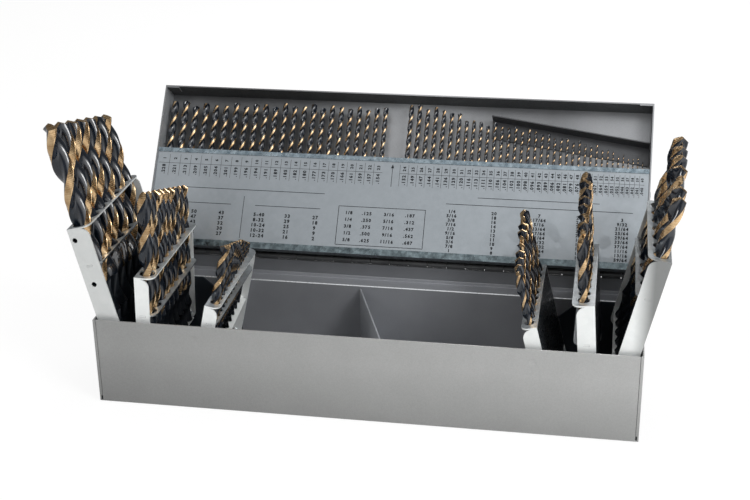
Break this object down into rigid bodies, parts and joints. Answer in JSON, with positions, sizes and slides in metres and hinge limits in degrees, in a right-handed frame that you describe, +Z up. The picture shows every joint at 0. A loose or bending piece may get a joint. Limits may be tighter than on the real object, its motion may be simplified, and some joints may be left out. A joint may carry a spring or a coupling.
{
  "type": "drill bit case",
  "caption": "Hinged sheet metal drill bit case, open, with swing-up perforated racks and an index panel in the lid.",
  "frame": {"origin": "centre of the base tray's underside", "axes": "+X to the right seen from the front, +Y to the back, +Z up"},
  "size_m": [0.4038, 0.1992, 0.1898],
  "materials": {
    "case_paint": "satin",
    "inner_paint": "satin",
    "zinc_sheet": "galvanised",
    "zinc_panel": "satin",
    "bit_steel": "black oxide, straw",
    "hinge_steel": "satin",
    "rivet_steel": "bright"
  },
  "bodies": {
    "base": {"base_tray": "case_paint", "rear_rail": "inner_paint", "rear_left_bracket": "inner_paint", "rear_right_bracket": "inner_paint", "front_left_bracket": "inner_paint", "front_right_bracket": "inner_paint", "divider": "inner_paint", "pivot_rivets": "rivet_steel", "hinge_base_leaf": "hinge_steel", "hinge_pin": "rivet_steel"},
    "lid": {"lid_shell": "case_paint", "hinge_lid_leaf": "hinge_steel", "index_panel": "zinc_panel", "panel_rest_long": "zinc_sheet", "panel_rest_short": "zinc_sheet", "bits_panel_long": "bit_steel", "bits_panel_short": "bit_steel", "stop_angle": "inner_paint", "panel_rivets": "rivet_steel"},
    "rack_left_outer": {"rack_left_outer_frame": "zinc_sheet", "rack_left_outer_guide": "zinc_sheet", "rack_left_outer_rest": "zinc_sheet", "bits_left_outer": "bit_steel"},
    "rack_left_middle": {"rack_left_middle_frame": "zinc_sheet", "rack_left_middle_guide": "zinc_sheet", "rack_left_middle_rest": "zinc_sheet", "bits_left_middle": "bit_steel"},
    "rack_left_inner": {"rack_left_inner_frame": "zinc_sheet", "rack_left_inner_guide": "zinc_sheet", "rack_left_inner_rest": "zinc_sheet", "bits_left_inner": "bit_steel"},
    "rack_right_outer": {"rack_right_outer_frame": "zinc_sheet", "rack_right_outer_guide": "zinc_sheet", "rack_right_outer_rest": "zinc_sheet", "bits_right_outer": "bit_steel"},
    "rack_right_middle": {"rack_right_middle_frame": "zinc_sheet", "rack_right_middle_guide": "zinc_sheet", "rack_right_middle_rest": "zinc_sheet", "bits_right_middle": "bit_steel"},
    "rack_right_inner": {"rack_right_inner_frame": "zinc_sheet", "rack_right_inner_guide": "zinc_sheet", "rack_right_inner_rest": "zinc_sheet", "bits_right_inner": "bit_steel"}
  },
  "joints": [
    {"name": "lid_hinge", "type": "hinge", "parent": "base", "child": "lid", "pos_m": [0, 0.0601, 0.0612], "axis": [1, 0, 0], "range_deg": [0, 36]},
    {"name": "left_outer_fold", "type": "hinge", "parent": "base", "child": "rack_left_outer", "pos_m": [-0.1632, 0, 0.0365], "axis": [0, 1, 0], "range_deg": [0, 103.4]},
    {"name": "left_middle_fold", "type": "hinge", "parent": "base", "child": "rack_left_middle", "pos_m": [-0.146, 0, 0.02], "axis": [0, 1, 0], "range_deg": [0, 88.05]},
    {"name": "left_inner_fold", "type": "hinge", "parent": "base", "child": "rack_left_inner", "pos_m": [-0.112, 0, 0.0075], "axis": [0, 1, 0], "range_deg": [0, 77.55]},
    {"name": "right_outer_fold", "type": "hinge", "parent": "base", "child": "rack_right_outer", "pos_m": [0.1635, 0, 0.0365], "axis": [0, -1, 0], "range_deg": [0, 103.2]},
    {"name": "right_middle_fold", "type": "hinge", "parent": "base", "child": "rack_right_middle", "pos_m": [0.1455, 0, 0.02], "axis": [0, -1, 0], "range_deg": [0, 83.95]},
    {"name": "right_inner_fold", "type": "hinge", "parent": "base", "child": "rack_right_inner", "pos_m": [0.1227, 0, 0.0075], "axis": [0, -1, 0], "range_deg": [0, 76.05]}
  ],
  "couplings": [
    {"joint": "left_middle_fold", "follows": "left_outer_fold", "ratio": 0.85106},
    {"joint": "left_inner_fold", "follows": "left_outer_fold", "ratio": 0.74952},
    {"joint": "right_middle_fold", "follows": "right_outer_fold", "ratio": 0.81298},
    {"joint": "right_inner_fold", "follows": "right_outer_fold", "ratio": 0.73643}
  ]
}
